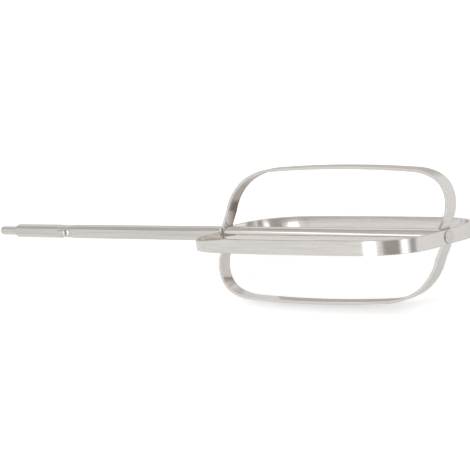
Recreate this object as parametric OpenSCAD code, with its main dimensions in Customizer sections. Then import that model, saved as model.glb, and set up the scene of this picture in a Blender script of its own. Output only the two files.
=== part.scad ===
// Beater for a hand mixer, also called a mixer whisk.
// A round steel stem carries two flat strip loops that cross at a right angle.
// The stem runs on through a centre tube and is peened over at the tip.
// The beater lies on two of its four strips, with the stem along X and the tip at +X.

/* [Stem] */
// Length from the end of the nipple to the top of the rivet head
overall_len = 209.4; // [160:0.1:260]
// Diameter of the round stem
stem_d = 4.95; // [4:0.05:7]
// Diameter of the thin nipple at the drive end
nipple_d = 3.3; // [2.5:0.1:4]
// Length of the nipple up to the shoulder
nipple_len = 9.4; // [5:0.1:12]
// Radius around the end of the nipple
nipple_round = 1.5; // [0.3:0.1:1.6]
// Length of the cone between the nipple and the full stem
shoulder_len = 1.2; // [0.4:0.1:2]

/* [Ears] */
// Distance from the end of the nipple to the middle of the ears
ear_pos = 37.9; // [28:0.1:60]
// Length of an ear along the stem
ear_len = 6; // [4:0.1:9]
// Width over both ears
ear_span = 7.8; // [6:0.1:10]
// Thickness of an ear at its crest
ear_thick = 1.7; // [1:0.1:3]
// Radius of the round dents that the dies leave beside each ear
dent_r = 1.4; // [0.8:0.1:2.5]
// Depth of those dents
dent_depth = 0.45; // [0.1:0.05:0.8]
// Depth of the neck that the dies squeeze all round the stem at the ears
neck_depth = 0.2; // [0.02:0.01:0.3]

/* [Loops] */
// Width of the flat strip
strip_w = 4.5; // [3.5:0.1:7]
// Thickness of the flat strip
strip_t = 0.9; // [0.6:0.05:1.5]
// Length of the outer loop over its two end faces
cage_len = 91.5; // [70:0.5:120]
// Half width of the outer loop, to the outside of the strip
outer_half = 23.1; // [18:0.1:30]
// Half width of the inner loop, to the outside of the strip
inner_half = 22.4; // [17:0.1:29]
// Bend radius next to the end faces at the stem
stem_bend = 12.6; // [8:0.1:14]
// Bend radius next to the end faces at the tip
tip_bend = 12.5; // [8:0.1:14]
// Wider radius in which each bend runs out into the side
ease_r = 24; // [20:0.5:40]
// Angle of the bend where the wider radius takes over
ease_from = 65; // [45:1:75]
// Radius of the slight bow along the sides
bow_r = 480; // [250:5:900]
// Distance from the stem-end face of the cage to the widest place
bow_pos = 39.5; // [35:0.5:50]
// How far the flat seat at each end reaches beyond what it clamps
seat_margin = 0.4; // [0.2:0.1:1]
// Width that the outer loop keeps above its middle line where it is relieved
relief_keep = 1; // [0.6:0.1:2]
// Length over which the relief runs out along the side
relief_len = 20; // [8:1:40]
// Lean of the outer loop, as a shift along the stem per unit of height
outer_rack = 0.05; // [0:0.005:0.4]
// Lean of the inner loop, as a shift along the stem per unit of height
inner_rack = 0.345; // [0:0.005:0.4]

/* [Spindle and rivet] */
// Diameter of the spindle that runs through the loops and the tube
spigot_d = 3.2; // [2.6:0.1:4]
// Play all round between the spindle and the holes around it
hole_play = 0.04; // [0.02:0.01:0.1]
// Outer diameter of the tube between the loop ends
tube_d = 4.95; // [4.2:0.05:5.6]
// Diameter of the peened rivet head
rivet_d = 4.2; // [3.8:0.1:4.8]
// Height of the rivet head
rivet_h = 1; // [0.8:0.1:2]

/* [Hidden] */
// Smoothness of round surfaces
$fn = 72;
// Steps along each bend of a strip, and along the easing after it
bend_steps = 24;
ease_steps = 10;
// Steps along each bowed side of a strip
bow_steps = 16;
// Colour of the bright plated steel
chrome = [0.79, 0.79, 0.80];
// How far cutting tools run past the surface they cut
over = 1;
// Where the outer loop starts and ends along the stem
cage_end = overall_len - rivet_h;
cage_start = cage_end - cage_len;
// Half length of the flat seat, which covers the stem, the tube and the other strip
seat_half = max(stem_d, tube_d, strip_w) / 2 + seat_margin;
// Mid-surface half widths
outer_mid = outer_half - strip_t / 2;
inner_mid = inner_half - strip_t / 2;
// Angle between the ears and the dents, seen along the stem
dent_angle = 46;
// Half length of the neck around the ears
neck_half = ear_len / 2 + 0.4;
// The roll about the stem that puts one strip of each loop on the ground
roll = atan2(inner_half - strip_w / 2, outer_half - strip_w / 2);
// Height of the stem's axis above the ground in that roll
axis_h = outer_half * sin(roll) + strip_w / 2 * cos(roll);
// Furthest reach along the stem, of the rivet head or of a leaning corner
inner_run = loop_line(cage_start + strip_t * 1.5, cage_end - strip_t * 1.5, inner_mid, inner_rack);
reach = max(overall_len, max([for (p = shifted(inner_run, strip_t / 2)) p[0]]));
// The solid pieces, one module each
// Which piece to draw

// Centres of one end's bend and of its easing, and the angle where the bow starts.
// run is the distance from the widest place to the end; the centres are seen from there.
function end_arcs(run, half, bend) =
    let (
        yb = half - bow_r,
        cx = run - bend,
        ex = cx - (ease_r - bend) * cos(ease_from),
        ey = yb + sqrt(pow(bow_r - ease_r, 2) - ex * ex),
        cy = ey + (ease_r - bend) * sin(ease_from)
    )
    [[cx, cy], [ex, ey], atan2(ey - yb, ex)];

// Quarter of a loop's centreline, from the seat at one end to the bowed side
function end_line(run, half, bend) =
    let (arcs = end_arcs(run, half, bend), c = arcs[0], e = arcs[1], top = arcs[2])
    concat(
        [[run, seat_half]],
        [for (i = [0:bend_steps]) let (a = ease_from * i / bend_steps)
            c + bend * [cos(a), sin(a)]],
        [for (i = [1:ease_steps]) let (a = ease_from + (top - ease_from) * i / ease_steps)
            e + ease_r * [cos(a), sin(a)]]
    );

// Upper half of a loop's centreline, from the stem end to the tip
function half_line(x0, x1, half) =
    let (
        xm = cage_start + bow_pos,
        near = end_line(xm - x0, half, stem_bend),
        far = end_line(x1 - xm, half, tip_bend),
        a0 = 180 - end_arcs(xm - x0, half, stem_bend)[2],
        a1 = end_arcs(x1 - xm, half, tip_bend)[2]
    )
    concat(
        [for (p = near) [xm - p[0], p[1]]],
        [for (i = [1:bow_steps - 1]) let (a = a0 + (a1 - a0) * i / bow_steps)
            [xm + bow_r * cos(a), half - bow_r + bow_r * sin(a)]],
        [for (i = [len(far) - 1:-1:0]) [xm + far[i][0], far[i][1]]]
    );

// Shifts a point along the stem in proportion to its height, all but the flat seat
function racked(p, rack) =
    abs(p[1]) > seat_half + 0.001 ? [p[0] + rack * p[1], p[1]] : p;

// The whole centreline as a closed run of points, leaning by the rack
function loop_line(x0, x1, half, rack) =
    let (up = half_line(x0, x1, half), n = len(up))
    concat(
        [for (p = up) racked(p, rack)],
        [for (i = [n - 1:-1:0]) racked([up[i][0], -up[i][1]], rack)]
    );

// Corner point of an offset line, beside the middle one of three points
function beside(a, b, c, d) =
    let (
        u = (b - a) / norm(b - a),
        v = (c - b) / norm(c - b),
        m = [-(u[1] + v[1]), u[0] + v[0]]
    )
    b + m * 2 * d / (m * m);

// A closed line moved sideways by d
function shifted(pts, d) =
    let (n = len(pts))
    [for (i = [0:n - 1]) beside(pts[(i + n - 1) % n], pts[i], pts[(i + 1) % n], d)];

// A flat strip bent into a closed loop and drilled at both ends for the spindle
module strip_loop(x0, x1, half, rack) {
    line = loop_line(x0, x1, half, rack);
    difference() {
        linear_extrude(height = strip_w, center = true)
            difference() {
                polygon(shifted(line, strip_t / 2));
                polygon(shifted(line, -strip_t / 2));
            }
        translate([x0 - strip_t / 2 - over, 0, 0])
            rotate([0, 90, 0])
                cylinder(h = x1 - x0 + strip_t + 2 * over, r = spigot_d / 2 + hole_play);
    }
}

// Sets a piece that is drawn along its own axis into the lying pose
module lying() {
    translate([-reach / 2, 0, axis_h])
        rotate([-roll, 0, 0])
            children();
}

// Turned outline of the spindle, as radius against distance along it
function spindle_outline() =
    concat(
        [[0, 0]],
        [for (i = [0:8]) let (a = 90 * i / 8)
            [nipple_d / 2 - nipple_round + nipple_round * sin(a), nipple_round - nipple_round * cos(a)]],
        [
            [nipple_d / 2, nipple_len],
            [stem_d / 2, nipple_len + shoulder_len],
            [stem_d / 2, ear_pos - neck_half],
            [stem_d / 2 - neck_depth, ear_pos - neck_half + neck_depth],
            [stem_d / 2 - neck_depth, ear_pos + neck_half - neck_depth],
            [stem_d / 2, ear_pos + neck_half],
            [stem_d / 2, cage_start],
            [spigot_d / 2, cage_start],
            [spigot_d / 2, cage_end],
            [rivet_d / 2, cage_end]
        ],
        [for (i = [0:10]) let (a = 90 * i / 10)
            [rivet_d / 2 * cos(a), cage_end + rivet_h * (0.25 + 0.75 * sin(a))]]
    );

// Side outline of the pair of ears, low at both ends and full in the middle
module ear_outline() {
    ramp = ear_len * 0.3;
    polygon(concat(
        [[-ear_len / 2, 0]],
        [for (i = [0:6]) let (t = i / 6)
            [-ear_len / 2 + ramp * t, ear_span / 2 - (ear_span - stem_d) / 2 * pow(1 - t, 2) - 0.2 * (1 - t)]],
        [for (i = [6:-1:0]) let (t = i / 6)
            [ear_len / 2 - ramp * t, ear_span / 2 - (ear_span - stem_d) / 2 * pow(1 - t, 2) - 0.2 * (1 - t)]],
        [[ear_len / 2, 0]]
    ));
}

// Stem with nipple, shoulder and ears, the spigot through the cage and the rivet head
module spindle() {
    color(chrome)
        lying()
            difference() {
                union() {
                    rotate([0, 90, 0])
                        rotate_extrude()
                            polygon(spindle_outline());
                    for (side = [0, 1])
                        translate([ear_pos, 0, 0])
                            mirror([0, side, 0])
                                linear_extrude(height = ear_thick, center = true)
                                    ear_outline();
                }
                // Four round dents beside each ear, left by the dies that squeeze it out
                for (turn = [0, 180], side = [-1, 1], end = [-1, 1])
                    rotate([turn + side * dent_angle, 0, 0])
                        translate([ear_pos + end * ear_len * 0.3, stem_d / 2 + dent_r - dent_depth, 0])
                            sphere(r = dent_r);
            }
}

// Tube around the spigot that keeps the two ends of the cage apart
module centre_tube() {
    from = cage_start + 2 * strip_t;
    color(chrome)
        lying()
            translate([from, 0, 0])
                rotate([0, 90, 0])
                    difference() {
                        cylinder(h = cage_len - 4 * strip_t, r = tube_d / 2);
                        translate([0, 0, -over])
                            cylinder(h = cage_len + 2 * over, r = spigot_d / 2 + hole_play);
                    }
}

// Tool that narrows one side of the outer loop where it bends in under the stem
module relief() {
    translate([cage_start, -seat_half, 0])
        rotate([90, 0, 0])
            linear_extrude(height = outer_half)
                polygon([
                    [-over, relief_keep], [relief_len * 0.25, relief_keep],
                    [relief_len, strip_w / 2], [relief_len, strip_w / 2 + over],
                    [-over, strip_w / 2 + over]
                ]);
}

// Outer loop, whose end faces lie under the shoulder of the stem and under the rivet head
module outer_loop() {
    color(chrome)
        lying()
            difference() {
                strip_loop(cage_start + strip_t / 2, cage_end - strip_t / 2, outer_mid, outer_rack);
                for (turn = [0, 180])
                    rotate([turn, 0, 0])
                        relief();
            }
}

// Inner loop, a quarter turn from the outer one and nested inside its ends
module inner_loop() {
    color(chrome)
        lying()
            rotate([90, 0, 0])
                strip_loop(cage_start + strip_t * 1.5, cage_end - strip_t * 1.5, inner_mid, inner_rack);
}

spindle();
centre_tube();
outer_loop();
inner_loop();
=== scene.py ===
import bpy, math, mathutils
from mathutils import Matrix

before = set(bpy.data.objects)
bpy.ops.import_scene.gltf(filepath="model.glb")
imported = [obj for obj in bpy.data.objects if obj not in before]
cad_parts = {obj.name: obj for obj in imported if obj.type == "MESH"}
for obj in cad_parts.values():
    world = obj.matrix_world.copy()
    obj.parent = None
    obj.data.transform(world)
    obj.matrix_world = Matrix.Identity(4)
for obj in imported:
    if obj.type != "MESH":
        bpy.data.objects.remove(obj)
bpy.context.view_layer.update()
bpy.ops.object.select_all(action="DESELECT")

# Camera.
# A long lens from above the tip, so that the stem runs away to the left
# and the beater fills the picture from edge to edge.
cam = bpy.data.objects.new("Camera", bpy.data.cameras.new("Camera"))
bpy.context.scene.collection.objects.link(cam)
cam.location = (0.3939112, -0.2404696, 0.3546439)
cam.rotation_euler = (math.radians(44.35622), math.radians(32.71240), math.radians(28.64260))
cam.data.sensor_width = 36.0
cam.data.lens = 127.743
cam.data.clip_start = 0.05
cam.data.clip_end = 20.0
bpy.context.scene.camera = cam

# Stem and spindle.
# One drawn steel rod with the turned nipple, the pinched ears and the rivet
# head, chrome plated; the drawing shows as fine lines along the rod.
# Painted shade: how far the ambient occlusion reaches, and how dark it paints the gaps between parts.
PAINTED_SHADE_REACH = 0.0008
PAINTED_SHADE_DARKEST = 0.25


def plated_steel(name, line_scale, dark, light, cloud_scale, roughness, relief_strength, edge_radius):
    """Plated steel with fine lines, cloudy gloss and painted shade in the gaps between parts, on
    Object coordinates.
    """
    metal = bpy.data.materials.new(name)
    metal.use_nodes = True
    nodes = metal.node_tree.nodes
    links = metal.node_tree.links
    bsdf = nodes["Principled BSDF"]
    bsdf.inputs["Metallic"].default_value = 1.0
    place = nodes.new("ShaderNodeTexCoord")
    stretch = nodes.new("ShaderNodeMapping")
    stretch.inputs["Scale"].default_value = line_scale
    links.new(place.outputs["Object"], stretch.inputs["Vector"])
    lines = nodes.new("ShaderNodeTexNoise")
    lines.inputs["Scale"].default_value = 1.0
    lines.inputs["Detail"].default_value = 3.0
    links.new(stretch.outputs["Vector"], lines.inputs["Vector"])
    cloud = nodes.new("ShaderNodeTexNoise")
    cloud.inputs["Scale"].default_value = cloud_scale
    cloud.inputs["Detail"].default_value = 4.0
    links.new(place.outputs["Object"], cloud.inputs["Vector"])
    tint = nodes.new("ShaderNodeValToRGB")
    tint.color_ramp.elements[0].position = 0.3
    tint.color_ramp.elements[0].color = dark
    tint.color_ramp.elements[1].position = 0.7
    tint.color_ramp.elements[1].color = light
    links.new(lines.outputs["Fac"], tint.inputs["Fac"])
    # Painted shade: ambient occlusion darkens the base colour in the narrow gaps between stem, tube
    # and loops, and a little at the strips' edges on the floor.
    painted_crevice_shade = nodes.new("ShaderNodeAmbientOcclusion")
    painted_crevice_shade.samples = 8
    painted_crevice_shade.inputs["Distance"].default_value = PAINTED_SHADE_REACH
    shade = nodes.new("ShaderNodeMapRange")
    shade.inputs["From Min"].default_value = 0.2
    shade.inputs["From Max"].default_value = 0.7
    shade.inputs["To Min"].default_value = PAINTED_SHADE_DARKEST
    links.new(painted_crevice_shade.outputs["AO"], shade.inputs["Value"])
    shaded = nodes.new("ShaderNodeVectorMath")
    shaded.operation = "SCALE"
    links.new(tint.outputs["Color"], shaded.inputs["Vector"])
    links.new(shade.outputs["Result"], shaded.inputs["Scale"])
    links.new(shaded.outputs["Vector"], bsdf.inputs["Base Color"])
    gloss = nodes.new("ShaderNodeMapRange")
    gloss.inputs["To Min"].default_value = roughness[0]
    gloss.inputs["To Max"].default_value = roughness[1]
    links.new(cloud.outputs["Fac"], gloss.inputs["Value"])
    links.new(gloss.outputs["Result"], bsdf.inputs["Roughness"])
    relief = nodes.new("ShaderNodeBump")
    relief.inputs["Strength"].default_value = relief_strength
    relief.inputs["Distance"].default_value = 0.00002
    links.new(lines.outputs["Fac"], relief.inputs["Height"])
    if edge_radius:
        edge = nodes.new("ShaderNodeBevel")
        edge.samples = 4
        edge.inputs["Radius"].default_value = edge_radius
        links.new(edge.outputs["Normal"], relief.inputs["Normal"])
    links.new(relief.outputs["Normal"], bsdf.inputs["Normal"])
    return metal


def dress(node, metal):
    """Gives a CAD node its finish."""
    bpy.data.objects[node].data.materials.clear()
    bpy.data.objects[node].data.materials.append(metal)


dress("spindle", plated_steel(
    "drawn_plated_rod",
    line_scale=(25.0, 1300.0, 1300.0),
    dark=(0.635, 0.608, 0.578, 1),
    light=(0.755, 0.725, 0.692, 1),
    cloud_scale=140.0,
    roughness=(0.11, 0.16),
    relief_strength=0.08,
    edge_radius=0.00018,
))

# Centre tube.
# A drawn and polished steel tube that is clamped between the loops' ends; faint
# lines run along it from the drawing.
dress("centre_tube", plated_steel(
    "polished_tube",
    line_scale=(30.0, 1500.0, 1500.0),
    dark=(0.735, 0.702, 0.671, 1),
    light=(0.82, 0.784, 0.75, 1),
    cloud_scale=120.0,
    roughness=(0.10, 0.15),
    relief_strength=0.06,
    edge_radius=None,
))

# Strip loops.
# Two rolled flat strips, bent round, punched and plated; rolling leaves a fine
# grain along the strip and rounds its edges a little.
strip_steel = plated_steel(
    "rolled_plated_strip",
    line_scale=(40.0, 1500.0, 1500.0),
    dark=(0.722, 0.69, 0.66, 1),
    light=(0.812, 0.776, 0.742, 1),
    cloud_scale=90.0,
    roughness=(0.12, 0.17),
    relief_strength=0.06,
    edge_radius=0.0004,
)
dress("outer_loop", strip_steel)
dress("inner_loop", strip_steel)

# Smooth bends.
# A modifier joins the short flats along each loop's bends, so that the metal
# reflects like one curved strip; sharper edges stay crisp.
CRISP_ANGLE = math.radians(30)
WELD_DISTANCE = 0.000001
smooth = bpy.data.node_groups.new("smooth_bends", "GeometryNodeTree")
smooth.interface.new_socket("Geometry", in_out="INPUT", socket_type="NodeSocketGeometry")
smooth.interface.new_socket("Geometry", in_out="OUTPUT", socket_type="NodeSocketGeometry")
taken = smooth.nodes.new("NodeGroupInput")
given = smooth.nodes.new("NodeGroupOutput")
merge = smooth.nodes.new("GeometryNodeMergeByDistance")
merge.inputs["Distance"].default_value = WELD_DISTANCE
plain = smooth.nodes.new("GeometryNodeRemoveAttribute")
plain.inputs["Name"].default_value = "custom_normal"
faces = smooth.nodes.new("GeometryNodeSetShadeSmooth")
angle = smooth.nodes.new("GeometryNodeInputMeshEdgeAngle")
below = smooth.nodes.new("FunctionNodeCompare")
below.data_type = "FLOAT"
below.operation = "LESS_THAN"
below.inputs["B"].default_value = CRISP_ANGLE
edges = smooth.nodes.new("GeometryNodeSetShadeSmooth")
edges.domain = "EDGE"
smooth.links.new(taken.outputs[0], merge.inputs["Geometry"])
smooth.links.new(merge.outputs[0], plain.inputs["Geometry"])
smooth.links.new(plain.outputs[0], faces.inputs["Geometry"])
smooth.links.new(faces.outputs[0], edges.inputs["Geometry"])
smooth.links.new(angle.outputs["Unsigned Angle"], below.inputs["A"])
smooth.links.new(below.outputs["Result"], edges.inputs["Shade Smooth"])
smooth.links.new(edges.outputs[0], given.inputs[0])
for name in ("outer_loop", "inner_loop"):
    bpy.data.objects[name].modifiers.new("smooth_bends", "NODES").node_group = smooth

# Floor.
# A pale paper sheet under the beater that shows white to the camera, a little
# brighter in the metal too, and keeps the soft shadow under the strips.
CAMERA_GLOW = 0.38
METAL_GLOW = 0.09
bpy.ops.mesh.primitive_plane_add(size=6.0, location=(0, 0, 0))
floor = bpy.context.object
floor.name = "floor"
paper = bpy.data.materials.new("paper")
paper.use_nodes = True
nt = paper.node_tree
sheen = nt.nodes["Principled BSDF"]
sheen.inputs["Base Color"].default_value = (0.8, 0.8, 0.8, 1)
sheen.inputs["Roughness"].default_value = 0.9
sheen.inputs["Emission Color"].default_value = (1, 1, 1, 1)
path = nt.nodes.new("ShaderNodeLightPath")
glow = nt.nodes.new("ShaderNodeMath")
glow.operation = "MULTIPLY_ADD"
glow.inputs[1].default_value = METAL_GLOW
nt.links.new(path.outputs["Is Glossy Ray"], glow.inputs[0])
seen = nt.nodes.new("ShaderNodeMath")
seen.operation = "MULTIPLY"
seen.inputs[1].default_value = CAMERA_GLOW
nt.links.new(path.outputs["Is Camera Ray"], seen.inputs[0])
nt.links.new(seen.outputs["Value"], glow.inputs[2])
nt.links.new(glow.outputs["Value"], sheen.inputs["Emission Strength"])
floor.data.materials.append(paper)

# Cards of the light tent.
# Plain cards around the beater, seen only in the metal, where they draw the dark
# bands across the bends and along the rod.
TENT_MIDDLE = mathutils.Vector((0.09, -0.015, 0.03))
TENT_RADIUS = 0.9


def card_paper(name, colour):
    """Matt paper in one plain colour."""
    sheet_paper = bpy.data.materials.new(name)
    sheet_paper.use_nodes = True
    matt = sheet_paper.node_tree.nodes["Principled BSDF"]
    matt.inputs["Base Color"].default_value = colour
    matt.inputs["Roughness"].default_value = 1.0
    return sheet_paper


def card(name, place, size, finish, turn=(0, 0, 0)):
    """A flat card that only the metal sees."""
    bpy.ops.mesh.primitive_plane_add(size=1.0, location=place)
    sheet = bpy.context.object
    sheet.name = name
    sheet.rotation_euler = turn
    sheet.scale = (size[0], size[1], 1)
    sheet.visible_camera = False
    sheet.visible_diffuse = False
    sheet.visible_shadow = False
    sheet.data.materials.append(finish)


grey = card_paper("grey_card", (0.47, 0.45, 0.43, 1))
pale = card_paper("pale_card", (0.72, 0.70, 0.682, 1))
for name, way, size, finish in (
    ("card_front", (0.40, -0.762, 0.509), (0.57, 0.60), grey),
    ("card_tip", (0.965, -0.19, 0.02), (0.34, 0.26), grey),
    ("card_back", (-0.70, 0.335, 0.63), (0.66, 0.66), pale),
):
    way = mathutils.Vector(way).normalized()
    turn = (-way).to_track_quat("Z", "Y").to_euler()
    card(name, way * TENT_RADIUS + TENT_MIDDLE, size, finish, turn)

# Cards on the floor.
# Darker sheets behind, below and beside the cage, seen only in the metal: painted reflections of
# shade, as the grey along the strips' edges and the brown patch on the upper arm.
brown = card_paper("brown_card", (0.60, 0.57, 0.54, 1))
dark_brown = card_paper("dark_brown_card", (0.22, 0.19, 0.16, 1))
card("card_behind", (-0.055, 0.1035, 0.0003), (0.28, 0.193), brown)
card("card_under", (0.057, -0.015, 0.0003), (0.056, 0.03), brown)
# Painted reflection of shade: a small dark sheet that the upper arm's inner face reflects as a brown
# patch.
card("card_arm", (0.0262, 0.0098, 0.0006), (0.008, 0.0032), dark_brown)

# Light.
# A pale room with one large soft lamp overhead and three narrow soft lamps
# between the cards, which draw the white bands in the metal.
world = bpy.data.worlds.new("studio")
bpy.context.scene.world = world
world.use_nodes = True
world.node_tree.nodes["Background"].inputs["Color"].default_value = (1, 1, 1, 1)
world.node_tree.nodes["Background"].inputs["Strength"].default_value = 0.85
for name, way, size, power in (
    ("lamp_side", (-0.25, -0.79, 0.555), (0.29, 0.34), 0.43),
    ("lamp_corner", (0.81, -0.51, 0.28), (0.17, 0.30), 0.142),
    ("lamp_top", (-0.645, -0.20, 0.74), (0.60, 0.06), 0.13),
):
    way = mathutils.Vector(way).normalized()
    lamp = bpy.data.objects.new(name, bpy.data.lights.new(name, "AREA"))
    bpy.context.scene.collection.objects.link(lamp)
    lamp.location = way * TENT_RADIUS + TENT_MIDDLE
    lamp.rotation_euler = way.to_track_quat("Z", "Y").to_euler()
    lamp.data.shape = "RECTANGLE"
    lamp.data.size = size[0]
    lamp.data.size_y = size[1]
    lamp.data.energy = power
key = bpy.data.objects.new("key", bpy.data.lights.new("key", "AREA"))
bpy.context.scene.collection.objects.link(key)
key.location = (0.0, 0.0, 1.0)
key.data.size = 0.8
key.data.energy = 1.2
key.visible_glossy = False

# Picture.
# Colours are shown as they are.
bpy.context.scene.view_settings.view_transform = "Standard"
